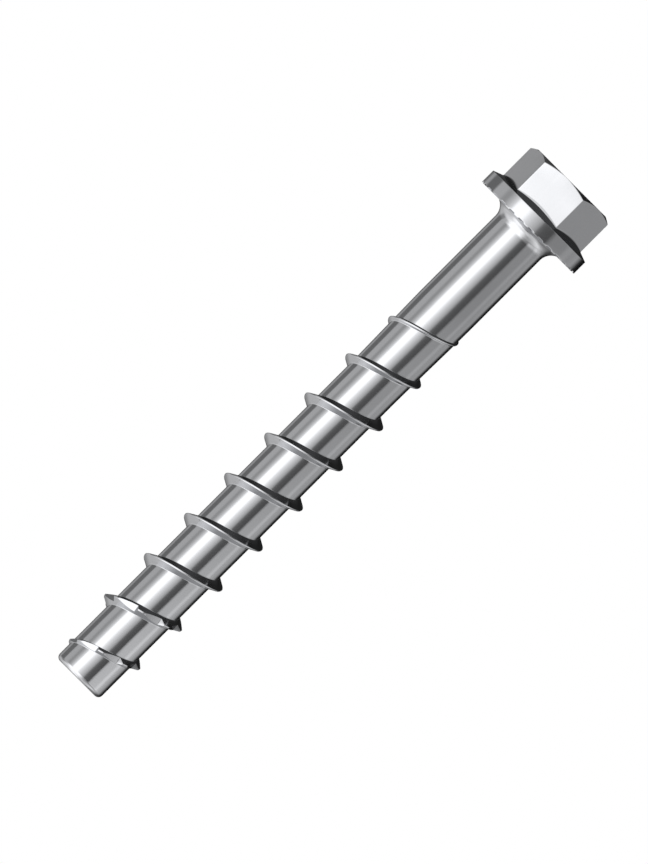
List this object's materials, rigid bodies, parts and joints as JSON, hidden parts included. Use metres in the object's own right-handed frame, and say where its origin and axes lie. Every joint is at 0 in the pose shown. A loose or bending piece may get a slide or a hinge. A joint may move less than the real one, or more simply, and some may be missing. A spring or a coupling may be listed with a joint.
{
  "type": "concrete screw",
  "caption": "Hex flange head concrete screw: plain shank, coarse self-cutting thread with notched turns at the tip, locking ribs under the flange.",
  "frame": {"origin": "middle of the head's end face, on which the screw stands", "axes": "+Z along the screw's axis from the head to the tip; +X and +Y across it"},
  "size_m": [0.0204, 0.0204, 0.1099],
  "materials": {
    "zinc_plate": "bright zinc plating"
  },
  "bodies": {
    "root": {"concrete_screw": "zinc_plate"}
  },
  "joints": []
}
